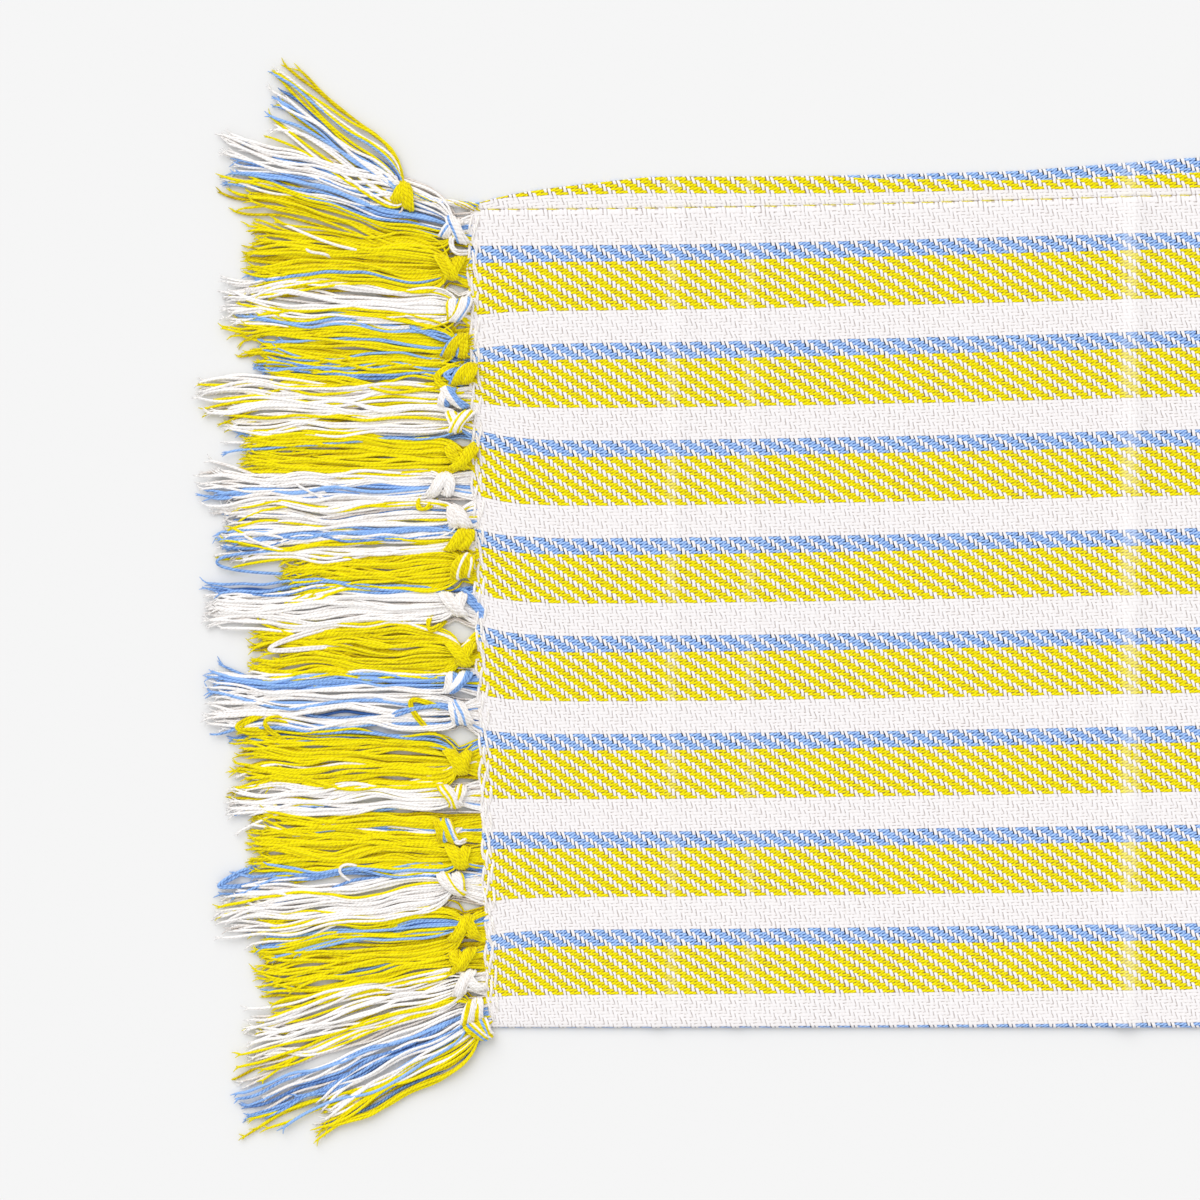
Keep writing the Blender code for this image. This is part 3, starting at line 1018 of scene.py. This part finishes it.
longest = max(row[4] - row[1] for row in TASSELS)
print("the longest skirt is", longest, "mm, with a point every", longest / (SKIRT_STATIONS - 1), "mm")

# %% [markdown]
# ## Strays
#
# A few yarns left the order of their tassel. Some double back as long loops on top of it, and some
# run from a knot back into the cloth. Each line below belongs to the tassel of that number, counted
# from 0. It gives the dye, the two feet of the loop as millimetres out and across, how far it bows
# out between them, and how many yarns lie side by side.

# %% Stray yarns
STRAYS = {
    2: (("w", 98, 10, 54, 25, 1, 1), ("w", 86, 22, 72, 27, 1, 1)),
    1: (("w", 3, 13, -3, 24, 9, 2),),
    4: (("b", 6, 70, 30, 62, 3, 2),),
    5: (("y", 0, 84, 0, 98, 16, 3), ("b", 2, 87, 3, 94, 9, 2)),
    9: (("y", 17, 154, 24, 150, 9, 2), ("w", 60, 150, 62, 158, 30, 1)),
    11: (("b", 60, 181, 60, 195, 72, 1), ("w", 58, 184, 60, 192, 60, 1)),
    13: (("b", 3, 205, -9, 223, -3, 4), ("y", 12, 219, 18, 214, 8, 2)),
    14: (("w", 46, 217, 44, 228, 60, 2),),
    16: (("y", 92, 264, 90, 274, 30, 3),),
    17: (("y", 84, 274, 88, 285, 22, 2), ("y", 6, 270, 14, 281, 24, 2), ("b", 4, 268, 42, 272, 6, 2)),
    19: (("w", 2, 326, -2, 333, 8, 2),),
    21: (("w", 50, 351, 54, 360, 17, 1), ("b", 112, 349, 110, 356, 20, 2)),
}
STRAY_STATIONS = 40
LANE = 1.35
# Millimetres out from the cloth's end, and how high a stray lies there.
STRAY_HEIGHTS = ([-12, -4, 4, 30, 130], [1.2, 3.0, 6.2, 5.3, 3.8])


def stray_paths(rng, foot, other, bow, count):
    """Half of an ellipse: from foot to other along (1 - cos) / 2, bowed sideways by bow times sin."""
    s = np.linspace(0, math.pi, STRAY_STATIONS)[None]
    step = np.array(other) - np.array(foot)
    normal = np.array([abs(step[1]), -step[0] * np.sign(step[1])]) / np.hypot(*step)
    lane = (np.arange(count) - (count - 1) / 2)[:, None] * LANE
    along = (1 - np.cos(s)) / 2 * (1 + 2 * lane / np.hypot(*step)) - lane / np.hypot(*step)
    depth = (bow + lane * np.sign(bow)) * np.sin(s)
    shake = rng.uniform(0, 6.28, (count, 2))
    out = foot[0] + step[0] * along + normal[0] * depth + 0.35 * np.sin(2.5 * s + shake[:, :1])
    across = foot[1] + step[1] * along + normal[1] * depth + 0.5 * np.sin(3 * s + shake[:, 1:])
    height = np.interp(out, *STRAY_HEIGHTS) - 4.2 * np.cos(s) ** 6
    return np.stack([out, across, np.maximum(height, 0.9)], -1) * MM


print(sum(stray[-1] for strays in STRAYS.values() for stray in strays), "stray yarns an end")

# %% [markdown]
# ## The knot
#
# An overhand knot is the bundle laid over itself and pulled through. From above it is two bands of
# parallel strands that cross over a tight core. The strands of each band run round the core on
# slanted ovals. The band nearer to the cloth leans one way and the outer one leans the other way.

# %% Knot bands
BAND_STATIONS = 26
STRAND_PITCH = 1.18


def knot_band(rng, knot, heading, shift, slant, wide, high, letters):
    """Strands round the core: oval turns, moved along the yarns by slant times the cosine.

    The middle strands stand highest, so that the band itself is round.
    """
    strands = len(letters)
    turn = np.linspace(-0.60 * math.pi, 1.60 * math.pi, BAND_STATIONS)[None]
    lane = (np.arange(strands) - (strands - 1) / 2)[:, None]
    crown = (lane / strands * 2) ** 2
    wide = wide * (1 - 0.20 * crown) + rng.uniform(-0.3, 0.3, (strands, 1))
    high = high * (1 - 0.28 * crown) + rng.uniform(-0.12, 0.12, (strands, 1))
    bow = rng.uniform(-0.9, 0.9)
    along = shift + lane * STRAND_PITCH + slant * np.cos(turn)
    along = along + bow * np.cos(2 * turn) + 0.25 * np.sin(3 * turn + lane)
    sideways = wide * np.cos(turn)
    up = high * np.sin(turn)
    tuck = np.clip((np.abs(turn - math.pi / 2) - 0.85 * math.pi) / (0.25 * math.pi), 0, 1)
    sideways = sideways * (1 - 0.6 * tuck)
    up = up * (1 - 0.6 * tuck)
    forward = np.array([math.cos(heading), math.sin(heading)])
    out = knot[0] + (along * forward[0] - sideways * forward[1]) * MM
    across = knot[1] + (along * forward[1] + sideways * forward[0]) * MM
    path = np.stack([out, across, knot[2] + up * MM], -1)
    path[..., 2] = np.maximum(path[..., 2], 0.95 * MM)
    return path


widest = max(len(row[5]) for row in TASSELS) * STRAND_PITCH
print("the widest band of a knot is", widest, "mm across its strands")

# %% [markdown]
# ## Placing a tassel
#
# Both ends of the rug use the same formulas, worked out as distances from the cloth's end and from
# its far edge. One function turns them into places in the room, and mirrors them for the right end.
# Each tassel takes the warp yarns from halfway to the knot before it to halfway to the next one.

# %% Places and dyes
KNOT_Z = 4.2 * MM


def to_world(paths, side):
    """From (out, across, height) at one end to x, y, z: side is -1 at the left and 1 at the right."""
    x = side * (END_X + paths[..., 0])
    return np.stack([x, FAR_Y - paths[..., 1], paths[..., 2]], -1)


def dyes_of(letters):
    """Letters of a dye list as material numbers."""
    return np.array([DYES.index(letter) for letter in letters])


def knot_place(number):
    """Out, across and height of a tassel's knot."""
    return np.array([TASSELS[number][1] * MM, TASSELS[number][0] * MM, KNOT_Z])


def share_of_cloth(number):
    """Far and near limit, in millimetres across, of the cloth that feeds a tassel."""
    if number == 0:
        return -1.0, 3.0
    here, before = TASSELS[number][0], TASSELS[number - 1][0]
    after = TASSELS[number + 1][0] if number + 1 < len(TASSELS) else 431
    return max((before + here) / 2, 3.0), min((after + here) / 2, 428.0)


print("the middle tassel takes the cloth from", *share_of_cloth(13), "mm")

# %% [markdown]
# ## Yarns of one tassel
#
# The roots and the skirt of a yarn are one path, which passes through the knot's core. Some of the
# lowest yarns pass beside the core, where a real knot lets a few escape. Yarns at the bottom of the
# pile get painted shade: their colour is darker, as they lie in the shade of the others.

# %% Gathered yarns
CORE_ACROSS = 4.0
CORE_HIGH = 1.7
BESIDE_KNOT = 0.24
ROOTS_THINNER = 0.72


def gathered_yarns(rng, side, number):
    """Roots, core and skirt in one bundle, and the frayed tips in another."""
    _, _, tip_far, tip_near, reach, _, letters = TASSELS[number]
    share_far, share_near = share_of_cloth(number)
    knot = knot_place(number)
    dyes = np.repeat(dyes_of(letters), YARNS_PER_LETTER)
    count = len(dyes)
    tones = np.clip(rng.normal(0.0, 0.10, count), -0.2, 0.3)
    skirt, rank, layer = skirt_paths(rng, knot, tip_far * MM, tip_near * MM, reach * MM, count)
    tones = tones * np.where(dyes == DYES.index("b"), 2.4, 1.0)
    # Painted shade: yarns in the lowest 35 % of the pile take up to 0.8 of the shade colour, as they
    # lie in the shade of the others.
    tones = tones + 0.8 * np.clip(1 - layer[:, 0] / 0.35, 0, 1) - 0.20
    beside = (layer < BESIDE_KNOT) & (number > 0)
    aside = (rank - 0.5) * 2 * CORE_ACROSS * np.where(beside, 2.1, 1.0)
    core = np.stack([aside, np.where(beside, -2.6, rng.uniform(-1, 1, (count, 1)) * CORE_HIGH)], -1)
    fade = np.exp(-np.linspace(0, 1, SKIRT_STATIONS) * 12)[None, :, None]
    skirt[..., 1:] += core * fade * MM
    roots = root_paths(rng, knot, share_far * MM, share_near * MM, rank, core, count)
    if number == 0:
        roots = twisted_neck(roots, rank, knot)
    yarns = np.concatenate([roots[:, :-1], skirt], axis=1)
    thick = YARN_RADIUS * rng.uniform(0.86, 1.10, (count, 1)) * np.ones(yarns.shape[:2])
    thick[:, : ROOT_STATIONS + 3] *= ROOTS_THINNER
    thick[:, -2:] *= np.array([0.95, 0.8])
    bundle = yarn_bundle(to_world(yarns, side), thick, dyes, tones)
    return [bundle, tips(rng, to_world(skirt, side), dyes, tones)]


print("yarns of the first tassel:", len(TASSELS[0][-1]) * YARNS_PER_LETTER)

# %% [markdown]
# ## Knot and strays of one tassel
#
# A fuller tassel has a larger knot. The inner band lies a little lower and leans less than the outer
# one, and both turn with the tassel's own lean. Which way they slant is drawn at random.

# %% Knot and strays
STRAND_RADIUS = 0.88 * MM
KNOT_LEAST, KNOT_PER_YARN = 4.9, 0.032
INNER_HIGH, OUTER_HIGH = 2.9, 3.6


def knot_bundles(rng, side, number):
    """The two crossing bands: half their width is KNOT_LEAST plus KNOT_PER_YARN for each yarn."""
    knot_across, knot_out, tip_far, tip_near, reach, wrap, letters = TASSELS[number]
    heading = math.atan2((tip_near + tip_far) / 2 - knot_across, reach - knot_out) * 0.8
    size = KNOT_LEAST + KNOT_PER_YARN * len(letters) * YARNS_PER_LETTER
    slant = rng.choice([-1, 1]) * rng.uniform(2.4, 4.6)
    minor = rng.choice([-1, 1]) * rng.uniform(2.4, 3.6)
    inner = minor, slant * rng.uniform(-0.9, 0.5), size * rng.uniform(0.85, 1.0), INNER_HIGH, wrap[1:]
    outer = -minor * 0.4, slant, size, OUTER_HIGH, wrap
    forward = np.array([side * math.cos(heading), -math.sin(heading), 0.0])
    bundles = []
    for shift, lean, wide, high, text in (inner, outer):
        path = knot_band(rng, knot_place(number), heading, shift, lean, wide, high, text)
        tone = np.clip(rng.normal(0.0, 0.08, len(text)), -0.2, 0.2)
        radii = np.full(path.shape[:2], STRAND_RADIUS)
        bundles.append(yarn_bundle(to_world(path, side), radii, dyes_of(text), tone, aside=forward))
    return bundles


def stray_bundles(rng, side, number):
    """One bundle for each line of STRAYS that belongs to the tassel."""
    bundles = []
    for dye, *feet, bow, copies in STRAYS.get(number, ()):
        path = to_world(stray_paths(rng, feet[:2], feet[2:], bow, copies), side)
        radii = np.full(path.shape[:2], YARN_RADIUS)
        tone = rng.uniform(-0.1, 0.1, copies)
        bundles.append(yarn_bundle(path, radii, dyes_of(dye * copies), tone))
    return bundles


fewest = min(len(row[-1]) for row in TASSELS) * YARNS_PER_LETTER
print("half the width of the smallest knot is", KNOT_LEAST + KNOT_PER_YARN * fewest, "mm")

# %% [markdown]
# ## Both fringes
#
# Now each tassel becomes one piece that stands for its plain CAD solid. Every tassel draws from its own
# seeded numbers.

# %% Fringe
def tassel(side, number):
    """One tassel: yarns, knot and strays in one mesh, with its finish, and with its CAD solid hidden.
    """
    rng = np.random.default_rng(1000 * (side + 2) + number)
    bundles = gathered_yarns(rng, side, number)
    bundles += knot_bundles(rng, side, number)
    bundles += stray_bundles(rng, side, number)
    where = "left" if side < 0 else "right"
    piece = mesh_from_bundles(f"yarns_{where}_{number + 1:02d}", bundles, cottons)
    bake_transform(piece)
    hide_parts(f"tassel_{where}_{number + 1:02d}")
    return piece


fringe = [tassel(side, number) for side in (-1, 1) for number in range(len(TASSELS))]
print("fringe triangles", sum(len(p.data.loops) - 2 * len(p.data.polygons) for p in fringe))

# %% [markdown]
# ## The loose last picks
#
# With nothing to hold them, the last crosswise yarns have slipped towards the knots. Each is one
# white yarn that runs from one long edge to the other, waving over and under the gathered ends.

# %% Loose picks
PICK_INSETS = (0.6, 2.6, 4.8)
PICK_RADIUS = 0.75 * MM
PICK_WAVE = 0.0137


def loose_picks(side):
    """Straight yarns near the end, moved by slow waves, and rising and dipping every few ends."""
    rng = np.random.default_rng(40 + side)
    t = np.linspace(0, 1, 220)[None]
    count = len(PICK_INSETS)
    across = (0.006 + t * (FAR_Y - NEAR_Y - 0.009)) * np.ones((count, 1))
    inset = np.array(PICK_INSETS)[:, None] * MM
    phase = rng.uniform(0, 6.28, (count, 2))
    sway = 0.6 * np.sin(across * 330 + phase[:, :1]) + 0.4 * np.sin(across * 120 + phase[:, 1:])
    out = -end_inset(FAR_Y - across) - inset + sway * MM
    height = (2.35 + 0.75 * np.sin(across * 2 * math.pi / PICK_WAVE + phase[:, :1])) * MM
    path = to_world(np.stack([out, across, height], -1), side)
    where = "left" if side < 0 else "right"
    radii = np.full(path.shape[:2], PICK_RADIUS)
    bundle = yarn_bundle(path, radii, dyes_of("w" * count), np.zeros(count))
    piece = mesh_from_bundles(f"loose_picks_{where}", [bundle], cottons)
    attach(piece, f"{where}_half")
    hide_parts(f"edge_pick_{where}")
    return piece


picks = [loose_picks(side) for side in (-1, 1)]
print("loose picks", [pick.name for pick in picks])

# %% [markdown]
# ## The cloth as a sheet
#
# The next line counts the pieces that go with the cloth sheet.

# %% Sheet
print("pieces that go with the sheet:", len(fringe) + len(picks) + 2)

# %% [markdown]
# ## Floor and light
#
# The rug lies on a plain pale studio floor. The light is a bright white surround with one large soft
# panel beyond the far edge, so shadows are faint and fall towards the near side.

# %% Stage
FLOOR_REACH = 4.0
FLOOR_GREY = 0.80
SURROUND_LIGHT = 0.82
corners = [(FLOOR_REACH * x, FLOOR_REACH * y, 0) for x, y in ((-1, -1), (1, -1), (1, 1), (-1, 1))]
floor_mesh = bpy.data.meshes.new("floor")
floor_mesh.from_pydata(corners, [], [(0, 1, 2, 3)])
floor = show("studio_floor", floor_mesh)
floor_paint = bpy.data.materials.new("pale floor")
floor_paint.use_nodes = True
paint = floor_paint.node_tree.nodes["Principled BSDF"].inputs
paint["Base Color"].default_value = (FLOOR_GREY, FLOOR_GREY, FLOOR_GREY, 1)
paint["Roughness"].default_value = 0.9
paint["Specular IOR Level"].default_value = 0.1
floor_mesh.materials.append(floor_paint)

world = bpy.data.worlds.new("studio")
world.use_nodes = True
surround = world.node_tree.nodes["Background"].inputs
surround["Color"].default_value = (1, 1, 1, 1)
surround["Strength"].default_value = SURROUND_LIGHT
bpy.context.scene.world = world

lamp = bpy.data.lights.new("far_light", "SUN")
lamp.energy = 1.5
lamp.angle = math.radians(50)
far_light = show("far_light", lamp)
far_light.rotation_euler = Vector((-0.45, 1.0, 1.05)).to_track_quat("Z", "Y").to_euler()

# %% [markdown]
# ## The view
#
# The camera hangs straight above one end of the rug. Its long lens flattens the view and keeps the
# stripes parallel. Its height follows from how much of the rug it has to take in: the width of the
# view times the lens over the sensor.

# %% Camera
LENS_MM = 150.0
SENSOR_MM = 36.0
VIEW_WIDTH = 0.6312
VIEW_MIDDLE = (-0.5456, 0.0039)
camera_data = bpy.data.cameras.new("camera")
camera_data.lens = LENS_MM
camera_data.sensor_width = SENSOR_MM
camera = show("camera", camera_data)
camera.location = (*VIEW_MIDDLE, CLOTH_THICKNESS + VIEW_WIDTH * LENS_MM / SENSOR_MM)
bpy.context.scene.camera = camera
bpy.context.scene.view_settings.view_transform = "Standard"
print("the camera hangs at", camera.location[2], "m")

# %% [markdown]
